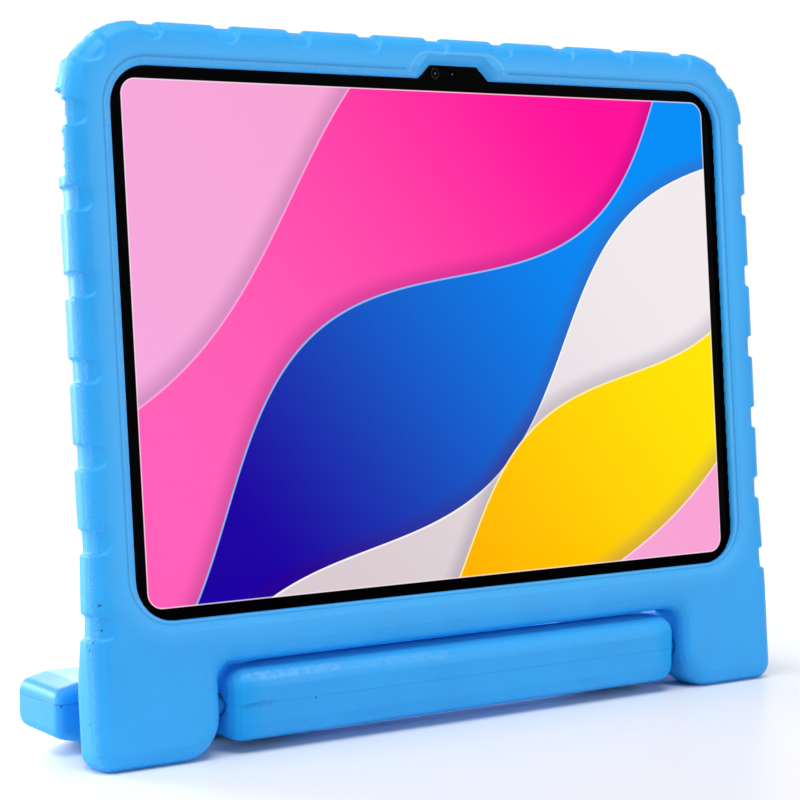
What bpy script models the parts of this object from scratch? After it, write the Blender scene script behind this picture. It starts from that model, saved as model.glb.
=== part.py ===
"""Foam tablet case for children, with its swinging handle and the tablet that sits in it.

The case is one foam moulding: a rounded frame with a lip over the tablet's edge, a full
back, and two feet below. The handle is a second moulding that hangs between the feet on
two pins. Turned to the back it lies on the table and holds the case up; turned down it
lies in line with the case and is carried by hand.

All sizes are metres. The case frame has X across, Y from the glass to the back and Z up
the face, with its origin at the middle of the tablet's glass. The handle frame has its
origin on the hinge axis, Y to the back and Z up.
"""
import math

import bmesh
import bpy
from mathutils import Matrix, Vector

# The fit of a piece in its seat
SEAT_GAP = 0.0003

# The tablet
TABLET_WIDTH = 0.2486
TABLET_HEIGHT = 0.1795
TABLET_DEPTH = 0.0070
TABLET_CORNER = 0.0180
TABLET_CHAMFER = 0.0005
METAL_RIM = 0.0010
GLASS_DEPTH = 0.0009
BEZEL_SIDE = 0.01077
BEZEL_TOP = 0.01085
DISPLAY_CORNER = 0.0050
DISPLAY_DEPTH = 0.0016

# The cameras and the sensor of the tablet
FRONT_CAMERA_X = 0.0002
SENSOR_X = 0.0070
CAMERA_ROW_INSET = 0.00515
FRONT_CAMERA_RADIUS = 0.0017
SENSOR_RADIUS = 0.0008
CAMERA_BARREL = 0.0022
REAR_CAMERA_INSET = 0.0135
REAR_RING_RADIUS = 0.0070
REAR_RING_WALL = 0.0022
REAR_RING_HEIGHT = 0.0013
REAR_LENS_DEPTH = 0.0010

# The power button and the charging socket of the tablet
BUTTON_FROM_TOP = 0.0270
BUTTON_LENGTH = 0.0160
BUTTON_THICK = 0.0024
BUTTON_PROUD = 0.0005
BUTTON_DEPTH = 0.0026
BUTTON_TRAVEL = 0.0004
SOCKET_WIDTH = 0.0088
SOCKET_HEIGHT = 0.0034
SOCKET_WALL = 0.0005
SOCKET_DEPTH = 0.0070

# The foam round the tablet
SIDE_WALL = 0.0080
TOP_WALL = 0.00645
BOTTOM_WALL = 0.00755
FRONT_LIP = 0.0036
BACK_WALL = 0.0061
TOP_CORNER = 0.0250
EDGE_ROUND = 0.0055

# The window in the front, with its soft lip and the crease round it
LIP_OVER_SIDE = 0.0064
LIP_OVER_TOP = 0.0072
WINDOW_CORNER = 0.0125
LIP_EDGE = 0.0027
LIP_EDGE_ROUND = 0.0013
LIP_BAND = 0.0029
CREASE_WIDTH = 0.0007
CREASE_DEPTH = 0.0006

# The raised blocks round the edge, left between shallow notches
NOTCH_WIDTH = 0.0074
NOTCH_REACH = 0.0067
NOTCH_DEPTH = 0.0012
NOTCH_TOP_DEPTH = 0.0008
NOTCH_FACE_DEPTH = 0.0005
SIDE_PITCH = 0.0251
SIDE_COUNT = 7
SIDE_FROM_TOP = 0.0281
TOP_PITCH = 0.0259
TOP_COUNT = 9
CORNER_NOTCH_WIDTH = 0.0100

# The opening for the front camera
CAMERA_NOTCH_LEFT = -0.0070
CAMERA_NOTCH_RIGHT = 0.0206
CAMERA_NOTCH_RISE = 0.0042
CAMERA_NOTCH_SLOPE = 0.0044
CAMERA_FLARE = 0.0034
CAMERA_LEDGE = 0.0006

# The back of the case and the openings in its walls
BACK_PANEL_MARGIN = 0.0170
BACK_PANEL_DEPTH = 0.0015
BACK_PANEL_CORNER = 0.0120
REAR_CAMERA_GAP = 0.0028
BUTTON_OPENING = 0.0252
BUTTON_OPENING_FRONT = 0.0020
PORT_OPENING_LENGTH = 0.0150
PORT_OPENING_DEPTH = 0.0064
SPEAKER_LENGTH = 0.0220
SPEAKER_DEPTH = 0.0044
SPEAKER_Z = 0.0500
SLOT_END_ROUND = 0.0020

# The feet and the arch between them
FOOT_WIDTH = 0.0423
FOOT_FLARE = 0.0012
FLARE_ABOVE_ARCH = 0.0353
FLARE_LENGTH = 0.0300
FOOT_OUTER_CORNER = 0.0060
FOOT_INNER_CORNER = 0.0135
ARCH_CORNER = 0.0045
SOLE_TRIM = 0.0009

# The stance of the case, and its hinge
LEAN = math.radians(5.16)
HINGE_DROP = 0.0130
HINGE_HEIGHT = 0.0147
PIN_RADIUS = 0.0030
PIN_RUNNING_GAP = 0.0004
PIN_IN_BAR = 0.0160
PIN_IN_FOOT = 0.0130

# The handle: a bar in the arch, two arms, and a wide grip with ears behind the feet
BAR_END_GAP = 0.0025
BAR_DEPTH = 0.0172
BAR_HALF_THICKNESS = 0.0116
BAR_ROUND = 0.0060
EAR_CLEARANCE = 0.0043
EAR_DEPTH = 0.0300
EAR_TOP = 0.0073
EAR_END_TOP = 0.0052
EAR_END_BOTTOM = 0.0092
EAR_TOP_SLOPE = 0.0085
EAR_BOTTOM_SLOPE = 0.0220
EAR_ROUND = 0.0038
EAR_END_ROUND = 0.0026
GRIP_DEPTH = 0.0170
HAND_SLOT_HALF = 0.0550
HAND_SLOT_CORNER = 0.0100
ARM_FILLET = 0.0060
ARM_SINK = 0.0001

# How finely curves are drawn, and how far a cut runs past what it cuts
BIG_CORNER_STEPS = 9
SMALL_CORNER_STEPS = 4
EDGE_STEPS = 4
DISC_STEPS = 24
SHARPEST_CORNER = 0.0003
OVERRUN = 0.0040

# Places that follow from the sizes above
CASE_FRONT = -FRONT_LIP
CASE_BACK = TABLET_DEPTH + SEAT_GAP + BACK_WALL
CASE_MIDDLE = (CASE_FRONT + CASE_BACK) / 2
CASE_SIDE = TABLET_WIDTH / 2 + SIDE_WALL
CASE_TOP = TABLET_HEIGHT / 2 + TOP_WALL
ARCH_TOP = -(TABLET_HEIGHT / 2 + BOTTOM_WALL)
FOOT_SIDE = CASE_SIDE + FOOT_FLARE
FLARE_TOP = ARCH_TOP + FLARE_ABOVE_ARCH
FLARE_BOTTOM = FLARE_TOP - FLARE_LENGTH
ARCH_SIDE = FOOT_SIDE - FOOT_WIDTH
HINGE_Z = ARCH_TOP - HINGE_DROP
FOOT_BOTTOM = HINGE_Z - HINGE_HEIGHT - SOLE_TRIM
WINDOW_SIDE = TABLET_WIDTH / 2 - LIP_OVER_SIDE
WINDOW_TOP = TABLET_HEIGHT / 2 - LIP_OVER_TOP
DISPLAY_WIDTH = TABLET_WIDTH - BEZEL_SIDE * 2
DISPLAY_HEIGHT = TABLET_HEIGHT - BEZEL_TOP * 2
CAMERA_ROW_Z = TABLET_HEIGHT / 2 - CAMERA_ROW_INSET
BUTTON_Z = TABLET_HEIGHT / 2 - BUTTON_FROM_TOP
REAR_CAMERA_X = REAR_CAMERA_INSET - TABLET_WIDTH / 2
REAR_CAMERA_Z = TABLET_HEIGHT / 2 - REAR_CAMERA_INSET
TABLET_MIDDLE = TABLET_DEPTH / 2
BAR_END = ARCH_SIDE - BAR_END_GAP
BAR_BACK = BAR_DEPTH / 2
EAR_FRONT = HINGE_HEIGHT + EAR_CLEARANCE
HANDLE_BACK = EAR_FRONT + EAR_DEPTH
GRIP_FRONT = HANDLE_BACK - GRIP_DEPTH


def material(name, colour, roughness, metallic=0.0):
    """A Principled material with the piece's own colour and finish."""
    made = bpy.data.materials.new(name)
    made.use_nodes = True
    shader = made.node_tree.nodes["Principled BSDF"]
    shader.inputs["Base Color"].default_value = (*colour, 1.0)
    shader.inputs["Roughness"].default_value = roughness
    shader.inputs["Metallic"].default_value = metallic
    return made


def frame(name, parent=None):
    """An empty that other things hang on."""
    empty = bpy.data.objects.new(name, None)
    bpy.context.scene.collection.objects.link(empty)
    empty.parent = parent
    return empty


def piece(name, builder, parent, finish=None):
    """Turn a finished bmesh into a named object under its parent."""
    bmesh.ops.recalc_face_normals(builder, faces=builder.faces)
    mesh = bpy.data.meshes.new(name)
    builder.to_mesh(mesh)
    builder.free()
    if finish is not None:
        mesh.materials.append(finish)
    made = bpy.data.objects.new(name, mesh)
    bpy.context.scene.collection.objects.link(made)
    made.parent = parent
    return made


def shape(target, name, builder, parent, operation="DIFFERENCE"):
    """Cut a hidden solid out of the target, or join it on."""
    tool = piece(name, builder, parent)
    tool.hide_render = True
    tool.display_type = "WIRE"
    step = target.modifiers.new(name, "BOOLEAN")
    step.operation = operation
    step.object = tool
    step.solver = "EXACT"


def rounded_outline(corners, inset=0.0):
    """A closed outline, counter-clockwise, each corner with its own radius.

    A corner is (a, b, radius, steps). The outline is moved inward by inset, so that an
    outer corner tightens and an inner corner widens by the same amount.
    """
    points = []
    for index, (a, b, radius, steps) in enumerate(corners):
        here = Vector((a, b))
        way_in = (here - Vector(corners[index - 1][:2])).normalized()
        way_out = (Vector(corners[(index + 1) % len(corners)][:2]) - here).normalized()
        normal_in = Vector((-way_in.y, way_in.x))
        normal_out = Vector((-way_out.y, way_out.x))
        turn = math.atan2(way_in.x * way_out.y - way_in.y * way_out.x, way_in.dot(way_out))
        side = math.copysign(1.0, turn)
        moved = here + (normal_in + normal_out) * inset / (1.0 + normal_in.dot(normal_out))
        bend = max(radius - side * inset, SHARPEST_CORNER)
        start = moved - way_in * bend * math.tan(abs(turn) / 2)
        centre = start + normal_in * side * bend
        for step in range(steps + 1):
            spoke = start - centre
            spoke.rotate(Matrix.Rotation(turn * step / steps, 2))
            points.append(centre + spoke)
    return points


def rectangle(low_a, high_a, low_b, high_b, radius=SHARPEST_CORNER, steps=1):
    """The corners of a rectangle with one radius, for rounded_outline."""
    return [(low_a, low_b, radius, steps), (high_a, low_b, radius, steps),
            (high_a, high_b, radius, steps), (low_a, high_b, radius, steps)]


def across_x(outline, x):
    """An outline of Y and Z, set at a place along X."""
    return [Vector((x, point.x, point.y)) for point in outline]


def across_y(outline, y):
    """An outline of X and Z, set at a depth."""
    return [Vector((point.x, y, point.y)) for point in outline]


def add_loft(builder, rings):
    """Skin rings of equal length, in order, and close both ends."""
    loops = [[builder.verts.new(point) for point in ring] for ring in rings]
    for near, far in zip(loops, loops[1:]):
        for index in range(len(near)):
            after = (index + 1) % len(near)
            builder.faces.new((near[index], near[after], far[after], far[index]))
    builder.faces.new(loops[0])
    builder.faces.new(loops[-1])


def loft(rings):
    """A new solid made of one loft."""
    builder = bmesh.new()
    add_loft(builder, rings)
    return builder


def slab(corners, front, back, inset=0.0):
    """Rings of a slab with square edges, between two depths."""
    outline = rounded_outline(corners, inset)
    return [across_y(outline, front), across_y(outline, back)]


def quarter_round(rounding):
    """Steps of a quarter circle, from the flat to the side: (inset, distance from the flat)."""
    steps = []
    for step in range(EDGE_STEPS + 1):
        angle = math.pi / 2 * step / EDGE_STEPS
        steps.append((rounding * (1 - math.sin(angle)), rounding * (1 - math.cos(angle))))
    return steps


def soft_slab(corners, front, back, rounding, inset=0.0):
    """Rings of a slab whose front and back edges are rounded."""
    steps = quarter_round(rounding)
    rings = [across_y(rounded_outline(corners, inset + inward), front + depth)
             for inward, depth in steps]
    rings += [across_y(rounded_outline(corners, inset + inward), back - depth)
              for inward, depth in reversed(steps)]
    return rings


def add_disc(builder, start, along, radius, length):
    """A closed cylinder from start along a unit axis."""
    axis = Vector(along)
    spoke = axis.orthogonal().normalized() * radius
    ring = []
    for step in range(DISC_STEPS):
        turned = Matrix.Rotation(2 * math.pi * step / DISC_STEPS, 3, axis) @ spoke
        ring.append(Vector(start) + turned)
    add_loft(builder, [ring, [point + axis * length for point in ring]])


def disc(start, along, radius, length):
    """A new solid cylinder."""
    builder = bmesh.new()
    add_disc(builder, start, along, radius, length)
    return builder


def case_corners(top=CASE_TOP):
    """The case's outline: a wide top, sides that flare at the feet, an arch between them."""
    inner_steps = SMALL_CORNER_STEPS + 2
    return [
        (-ARCH_SIDE, FOOT_BOTTOM, FOOT_INNER_CORNER, inner_steps),
        (-ARCH_SIDE, ARCH_TOP, ARCH_CORNER, SMALL_CORNER_STEPS),
        (ARCH_SIDE, ARCH_TOP, ARCH_CORNER, SMALL_CORNER_STEPS),
        (ARCH_SIDE, FOOT_BOTTOM, FOOT_INNER_CORNER, inner_steps),
        (FOOT_SIDE, FOOT_BOTTOM, FOOT_OUTER_CORNER, SMALL_CORNER_STEPS),
        (FOOT_SIDE, FLARE_BOTTOM, TOP_CORNER, 1),
        (CASE_SIDE, FLARE_TOP, TOP_CORNER, 1),
        (CASE_SIDE, top, TOP_CORNER, BIG_CORNER_STEPS),
        (-CASE_SIDE, top, TOP_CORNER, BIG_CORNER_STEPS),
        (-CASE_SIDE, FLARE_TOP, TOP_CORNER, 1),
        (-FOOT_SIDE, FLARE_BOTTOM, TOP_CORNER, 1),
        (-FOOT_SIDE, FOOT_BOTTOM, FOOT_OUTER_CORNER, SMALL_CORNER_STEPS),
    ]


def notch_places():
    """Where the edge notches sit: outer point, inward direction and width of each."""
    places = []
    for index in range(SIDE_COUNT):
        height = CASE_TOP - SIDE_FROM_TOP - SIDE_PITCH * index
        for side in (-1, 1):
            places.append((Vector((side * CASE_SIDE, height)), Vector((-side, 0.0)), NOTCH_WIDTH))
    for index in range(TOP_COUNT):
        across = TOP_PITCH * (index - (TOP_COUNT - 1) / 2)
        places.append((Vector((across, CASE_TOP)), Vector((0.0, -1.0)), NOTCH_WIDTH))
    diagonal = math.sqrt(0.5)
    for side in (-1, 1):
        middle = Vector((side * (CASE_SIDE - TOP_CORNER), CASE_TOP - TOP_CORNER))
        outward = Vector((side * diagonal, diagonal))
        places.append((middle + outward * TOP_CORNER, -outward, CORNER_NOTCH_WIDTH))
    return places


def notch_finger(outer, inward, width):
    """The outline of a finger that enters the edge and ends in a half circle."""
    half = width / 2
    across = Vector((-inward.y, inward.x)) * half
    centre = outer + inward * (NOTCH_REACH - half)
    outside = outer - inward * OVERRUN
    points = [outside - across]
    for step in range(SMALL_CORNER_STEPS * 2 + 1):
        angle = math.pi * step / (SMALL_CORNER_STEPS * 2)
        points.append(centre - across * math.cos(angle) + inward * half * math.sin(angle))
    points.append(outside + across)
    return points


def notch_fingers():
    """All the fingers, cut right through from front to back."""
    builder = bmesh.new()
    for outer, inward, width in notch_places():
        outline = notch_finger(outer, inward, width)
        front = across_y(outline, CASE_FRONT - OVERRUN)
        add_loft(builder, [front, across_y(outline, CASE_BACK + OVERRUN)])
    return builder


def tablet_corners(inset=0.0):
    """The tablet's outline, drawn in by an inset."""
    half_width = TABLET_WIDTH / 2 - inset
    half_height = TABLET_HEIGHT / 2 - inset
    return rectangle(-half_width, half_width, -half_height, half_height,
                     TABLET_CORNER - inset, BIG_CORNER_STEPS)


def window_rings():
    """The window: a straight lip edge, a rounding, a sloping band and the crease round it."""
    eighth = math.pi / 4
    crease_half = CREASE_WIDTH / 2
    profile = [
        (0.0, TABLET_MIDDLE),
        (0.0, LIP_EDGE_ROUND - LIP_EDGE),
        (LIP_EDGE_ROUND * (1 - math.cos(eighth)), LIP_EDGE_ROUND * (1 - math.sin(eighth)) - LIP_EDGE),
        (LIP_EDGE_ROUND, -LIP_EDGE),
        (LIP_BAND - crease_half, CASE_FRONT + CREASE_DEPTH / 2),
        (LIP_BAND, CASE_FRONT + CREASE_DEPTH),
        (LIP_BAND + crease_half, CASE_FRONT),
        (LIP_BAND + crease_half, CASE_FRONT - OVERRUN),
    ]
    corners = rectangle(-WINDOW_SIDE, WINDOW_SIDE, -WINDOW_TOP, WINDOW_TOP,
                        WINDOW_CORNER, SMALL_CORNER_STEPS * 2)
    return [across_y(rounded_outline(corners, -grow), depth) for grow, depth in profile]


def camera_opening_rings():
    """The notch in the lip over the front camera, flaring out to the case's face."""
    top = WINDOW_TOP + CAMERA_NOTCH_RISE
    low = WINDOW_TOP - CAMERA_FLARE
    run_below = CAMERA_NOTCH_SLOPE * CAMERA_FLARE / CAMERA_NOTCH_RISE
    corners = [
        (CAMERA_NOTCH_LEFT - run_below, low, SHARPEST_CORNER, 1),
        (CAMERA_NOTCH_RIGHT + run_below, low, SHARPEST_CORNER, 1),
        (CAMERA_NOTCH_RIGHT - CAMERA_NOTCH_SLOPE, top, SHARPEST_CORNER, SMALL_CORNER_STEPS),
        (CAMERA_NOTCH_LEFT + CAMERA_NOTCH_SLOPE, top, SHARPEST_CORNER, SMALL_CORNER_STEPS),
    ]
    profile = [(0.0, TABLET_MIDDLE), (0.0, -CAMERA_LEDGE), (CAMERA_FLARE, CASE_FRONT),
               (CAMERA_FLARE, CASE_FRONT - OVERRUN)]
    return [across_y(rounded_outline(corners, -grow), depth) for grow, depth in profile]


def back_panel_rings():
    """The shallow panel in the back, inside a raised border."""
    side = CASE_SIDE - BACK_PANEL_MARGIN
    corners = rectangle(-side, side, ARCH_TOP + BACK_PANEL_MARGIN, CASE_TOP - BACK_PANEL_MARGIN,
                        BACK_PANEL_CORNER, SMALL_CORNER_STEPS)
    profile = [(BACK_PANEL_DEPTH, CASE_BACK - BACK_PANEL_DEPTH), (0.0, CASE_BACK),
               (0.0, CASE_BACK + OVERRUN)]
    return [across_y(rounded_outline(corners, inset), depth) for inset, depth in profile]


def wall_openings():
    """Openings for the rear camera, the power button, the charging socket and the speakers."""
    builder = bmesh.new()
    add_disc(builder, (REAR_CAMERA_X, TABLET_MIDDLE, REAR_CAMERA_Z), (0.0, 1.0, 0.0),
             REAR_RING_RADIUS + REAR_CAMERA_GAP, CASE_BACK - TABLET_MIDDLE + OVERRUN)
    inner = TABLET_WIDTH / 2 - OVERRUN / 2
    outer = FOOT_SIDE + OVERRUN
    button = rectangle(-outer, -inner, BUTTON_Z - BUTTON_OPENING / 2, BUTTON_Z + BUTTON_OPENING / 2,
                       SLOT_END_ROUND, SMALL_CORNER_STEPS)
    add_loft(builder, slab(button, BUTTON_OPENING_FRONT, CASE_BACK + OVERRUN))
    slots = [(0.0, PORT_OPENING_LENGTH, PORT_OPENING_DEPTH),
             (SPEAKER_Z, SPEAKER_LENGTH, SPEAKER_DEPTH), (-SPEAKER_Z, SPEAKER_LENGTH, SPEAKER_DEPTH)]
    for height, length, depth in slots:
        corners = rectangle(TABLET_MIDDLE - depth / 2, TABLET_MIDDLE + depth / 2,
                            height - length / 2, height + length / 2, SLOT_END_ROUND, SMALL_CORNER_STEPS)
        outline = rounded_outline(corners)
        add_loft(builder, [across_x(outline, inner), across_x(outline, outer)])
    return builder


def make_case_body():
    """The foam moulding: frame, lip, back, feet, edge blocks and every opening."""
    outer = soft_slab(case_corners(), CASE_FRONT, CASE_BACK, EDGE_ROUND)
    body = piece("case_body", loft(outer), case_frame, foam)

    # The edge notches are fingers cut right through, filled again by a slightly smaller core
    shape(body, "notch_fingers", notch_fingers(), case_frame)
    core_corners = case_corners(CASE_TOP + NOTCH_DEPTH - NOTCH_TOP_DEPTH)
    core = soft_slab(core_corners, CASE_FRONT + NOTCH_FACE_DEPTH, CASE_BACK - NOTCH_FACE_DEPTH,
                     EDGE_ROUND, NOTCH_DEPTH)
    shape(body, "notch_core", loft(core), case_frame, "UNION")

    # The pocket for the tablet, the window in front of it, and the openings round it
    pocket = slab(tablet_corners(-SEAT_GAP), -SEAT_GAP, TABLET_DEPTH + SEAT_GAP)
    shape(body, "pocket", loft(pocket), case_frame)
    shape(body, "window", loft(window_rings()), case_frame)
    shape(body, "camera_opening", loft(camera_opening_rings()), case_frame)
    shape(body, "back_panel", loft(back_panel_rings()), case_frame)
    shape(body, "wall_openings", wall_openings(), case_frame)

    # Blind holes for the hinge pins, in the inner sides of the feet
    holes = bmesh.new()
    for side in (-1, 1):
        mouth = (side * (ARCH_SIDE - BAR_END_GAP), CASE_MIDDLE, HINGE_Z)
        add_disc(holes, mouth, (side, 0.0, 0.0), PIN_RADIUS + PIN_RUNNING_GAP,
                 BAR_END_GAP + PIN_IN_FOOT + PIN_RUNNING_GAP)
    shape(body, "pin_holes", holes, case_frame)

    # The soles are moulded level, so that the leaning case stands on flats
    width = FOOT_SIDE + OVERRUN
    floor = rectangle(-width, width, -HINGE_HEIGHT, 0.0)
    shape(body, "floor_level", loft(slab(floor, -EAR_FRONT, EAR_FRONT)), stance)


def blend(value, start, end, low, high):
    """A smooth change from low at start to high at end."""
    share = min(max((value - start) / (end - start), 0.0), 1.0)
    return low + (high - low) * share * share * (3 - 2 * share)


def hinge_bar_rings():
    """The bar that fills the arch between the feet, with rounded ends."""
    corners = rectangle(-BAR_BACK, BAR_BACK, -BAR_HALF_THICKNESS, BAR_HALF_THICKNESS,
                        BAR_ROUND, SMALL_CORNER_STEPS)
    ends = quarter_round(BAR_ROUND)
    rings = [across_x(rounded_outline(corners, inward), depth - BAR_END) for inward, depth in ends]
    rings += [across_x(rounded_outline(corners, inward), BAR_END - depth)
              for inward, depth in reversed(ends)]
    return rings


def grip_section(x, inset=0.0):
    """The section of the wide grip: shallow behind the hand slot, deep in the ears."""
    from_end = FOOT_SIDE - abs(x)
    top = EAR_END_TOP + (EAR_TOP - EAR_END_TOP) * min(from_end / EAR_TOP_SLOPE, 1.0)
    bottom = EAR_END_BOTTOM + (HINGE_HEIGHT - EAR_END_BOTTOM) * min(from_end / EAR_BOTTOM_SLOPE, 1.0)
    front = EAR_FRONT if abs(x) > BAR_END else GRIP_FRONT
    corners = rectangle(front, HANDLE_BACK, -bottom, top, EAR_ROUND, SMALL_CORNER_STEPS)
    return across_x(rounded_outline(corners, inset), x)


def grip_rings():
    """The wide grip across the back, from ear to ear, tapered at its ends."""
    inner = [FOOT_SIDE - EAR_TOP_SLOPE, FOOT_SIDE - EAR_BOTTOM_SLOPE,
             BAR_END + ARM_FILLET / 2, BAR_END - ARM_FILLET / 2]
    left = [grip_section(depth - FOOT_SIDE, inward) for inward, depth in quarter_round(EAR_END_ROUND)]
    left += [grip_section(-x) for x in inner]
    right = [grip_section(x) for x in reversed(inner)]
    right += [grip_section(FOOT_SIDE - depth, inward)
              for inward, depth in reversed(quarter_round(EAR_END_ROUND))]
    return left + right


def arm_section(y, side):
    """The section of an arm: its inner side rounds the hand slot, its outer side meets the ear."""
    into_corner = max(BAR_BACK + HAND_SLOT_CORNER - y, y - GRIP_FRONT + HAND_SLOT_CORNER, 0.0)
    into_corner = min(into_corner, HAND_SLOT_CORNER)
    inner = HAND_SLOT_HALF - HAND_SLOT_CORNER + math.sqrt(HAND_SLOT_CORNER ** 2 - into_corner ** 2)
    into_fillet = min(max(y - EAR_FRONT + ARM_FILLET, 0.0), ARM_FILLET)
    outer = BAR_END - ARM_SINK + ARM_FILLET - math.sqrt(ARM_FILLET ** 2 - into_fillet ** 2)
    level = (BAR_BACK, EAR_FRONT + EAR_ROUND)
    top = blend(y, *level, BAR_HALF_THICKNESS, EAR_TOP) - ARM_SINK
    bottom = blend(y, *level, BAR_HALF_THICKNESS, HINGE_HEIGHT) - ARM_SINK
    rounding = blend(y, *level, BAR_ROUND, EAR_ROUND)
    low, high = sorted((side * inner, side * outer))
    corners = rectangle(low, high, -bottom, top, rounding, SMALL_CORNER_STEPS)
    return across_y(rounded_outline(corners), y)


def arm_rings(side):
    """One arm, from inside the hinge bar to inside the grip."""
    places = [0.0]
    for step in range(EDGE_STEPS + 1):
        turn = math.pi / 2 * step / EDGE_STEPS
        places.append(BAR_BACK + HAND_SLOT_CORNER * (1 - math.cos(turn)))
        places.append(GRIP_FRONT - HAND_SLOT_CORNER * (1 - math.cos(turn)))
        places.append(EAR_FRONT - ARM_FILLET * (1 - math.sin(turn)))
    places.append(GRIP_FRONT + EAR_ROUND)
    return [arm_section(y, side) for y in sorted(places)]


def make_handle():
    """The second moulding, with its hand slot, and the two pins pressed into its bar."""
    handle = piece("handle_stand", loft(hinge_bar_rings()), handle_frame, foam)
    shape(handle, "grip", loft(grip_rings()), handle_frame, "UNION")
    arms = bmesh.new()
    for side in (-1, 1):
        add_loft(arms, arm_rings(side))
    shape(handle, "arms", arms, handle_frame, "UNION")
    holes = bmesh.new()
    for side, name in ((-1, "hinge_pin_left"), (1, "hinge_pin_right")):
        outward = (side, 0.0, 0.0)
        bottom = (side * (BAR_END - PIN_IN_BAR - SEAT_GAP), 0.0, 0.0)
        add_disc(holes, bottom, outward, PIN_RADIUS + SEAT_GAP, PIN_IN_BAR + SEAT_GAP + BAR_END_GAP)
        start = (side * (BAR_END - PIN_IN_BAR), 0.0, 0.0)
        pin = disc(start, outward, PIN_RADIUS, PIN_IN_BAR + BAR_END_GAP + PIN_IN_FOOT)
        piece(name, pin, handle_frame, pin_plastic)
    shape(handle, "pin_seats", holes, handle_frame)


def stadium(depth, length, grow=0.0):
    """The round-ended outline of a button or socket in the tablet's edge."""
    half_depth = depth / 2 + grow
    half_length = length / 2 + grow
    corners = rectangle(TABLET_MIDDLE - half_depth, TABLET_MIDDLE + half_depth,
                        -half_length, half_length, half_depth - SHARPEST_CORNER, SMALL_CORNER_STEPS)
    return rounded_outline(corners)


def raised(ring, height):
    """A ring moved up the case's face."""
    return [point + Vector((0.0, 0.0, height)) for point in ring]


def make_tablet_housing():
    """The metal shell, hollowed for the glass, the display, the cameras and the edge pieces."""
    profile = [(TABLET_CHAMFER, 0.0), (0.0, TABLET_CHAMFER), (0.0, TABLET_DEPTH - TABLET_CHAMFER),
               (TABLET_CHAMFER, TABLET_DEPTH)]
    rings = [across_y(rounded_outline(tablet_corners(inset)), depth) for inset, depth in profile]
    housing = piece("tablet_housing", loft(rings), case_frame, silver)
    glass_seat = slab(tablet_corners(METAL_RIM), -OVERRUN, GLASS_DEPTH + SEAT_GAP)
    shape(housing, "glass_seat", loft(glass_seat), case_frame)
    cavity_bottom = GLASS_DEPTH + DISPLAY_DEPTH + SEAT_GAP * 2
    cavity = slab(display_corners(), GLASS_DEPTH / 2, cavity_bottom, -SEAT_GAP)
    shape(housing, "display_cavity", loft(cavity), case_frame)
    wells = bmesh.new()
    for x, radius in ((FRONT_CAMERA_X, FRONT_CAMERA_RADIUS), (SENSOR_X, SENSOR_RADIUS)):
        add_disc(wells, (x, GLASS_DEPTH / 2, CAMERA_ROW_Z), (0.0, 1.0, 0.0), radius + SEAT_GAP,
                 CAMERA_BARREL + SEAT_GAP - GLASS_DEPTH / 2)
    button_bottom = BUTTON_DEPTH - BUTTON_PROUD + BUTTON_TRAVEL + SEAT_GAP - TABLET_WIDTH / 2
    button_hole = stadium(BUTTON_THICK, BUTTON_LENGTH, SEAT_GAP)
    add_loft(wells, [raised(across_x(button_hole, x), BUTTON_Z)
                     for x in (-TABLET_WIDTH / 2 - OVERRUN, button_bottom)])
    socket_hole = stadium(SOCKET_HEIGHT, SOCKET_WIDTH, SEAT_GAP)
    socket_bottom = TABLET_WIDTH / 2 - SOCKET_DEPTH - SEAT_GAP
    add_loft(wells, [across_x(socket_hole, x) for x in (socket_bottom, TABLET_WIDTH / 2 + OVERRUN)])
    shape(housing, "wells", wells, case_frame)


def display_corners():
    """The display panel's outline."""
    return rectangle(-DISPLAY_WIDTH / 2, DISPLAY_WIDTH / 2, -DISPLAY_HEIGHT / 2, DISPLAY_HEIGHT / 2,
                     DISPLAY_CORNER, SMALL_CORNER_STEPS)


def make_tablet_front():
    """The cover glass, the display behind it, and the camera and sensor that show through it."""
    plate = loft(slab(tablet_corners(METAL_RIM + SEAT_GAP), 0.0, GLASS_DEPTH))
    glass = piece("tablet_glass", plate, case_frame, black_glass)
    display_front = GLASS_DEPTH + SEAT_GAP
    display = slab(display_corners(), display_front, display_front + DISPLAY_DEPTH)
    piece("tablet_display", loft(display), case_frame, panel)
    holes = bmesh.new()
    eyes = (("front_camera", FRONT_CAMERA_X, FRONT_CAMERA_RADIUS), ("light_sensor", SENSOR_X, SENSOR_RADIUS))
    for name, x, radius in eyes:
        add_disc(holes, (x, -OVERRUN, CAMERA_ROW_Z), (0.0, 1.0, 0.0), radius + SEAT_GAP,
                 OVERRUN + GLASS_DEPTH * 2)
        barrel = disc((x, 0.0, CAMERA_ROW_Z), (0.0, 1.0, 0.0), radius, CAMERA_BARREL)
        piece(name, barrel, case_frame, lens)
    shape(glass, "glass_holes", holes, case_frame)


def make_rear_camera():
    """The raised ring on the tablet's back and the lens inside it."""
    backward = (0.0, 1.0, 0.0)
    seat = (REAR_CAMERA_X, TABLET_DEPTH + SEAT_GAP, REAR_CAMERA_Z)
    ring = piece("rear_camera_ring", disc(seat, backward, REAR_RING_RADIUS, REAR_RING_HEIGHT),
                 case_frame, silver)
    bore = REAR_RING_RADIUS - REAR_RING_WALL
    through = disc((REAR_CAMERA_X, TABLET_DEPTH, REAR_CAMERA_Z), backward, bore, OVERRUN)
    shape(ring, "ring_bore", through, case_frame)
    eye = disc(seat, backward, bore - SEAT_GAP, REAR_LENS_DEPTH)
    piece("rear_camera_lens", eye, case_frame, lens)


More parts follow.
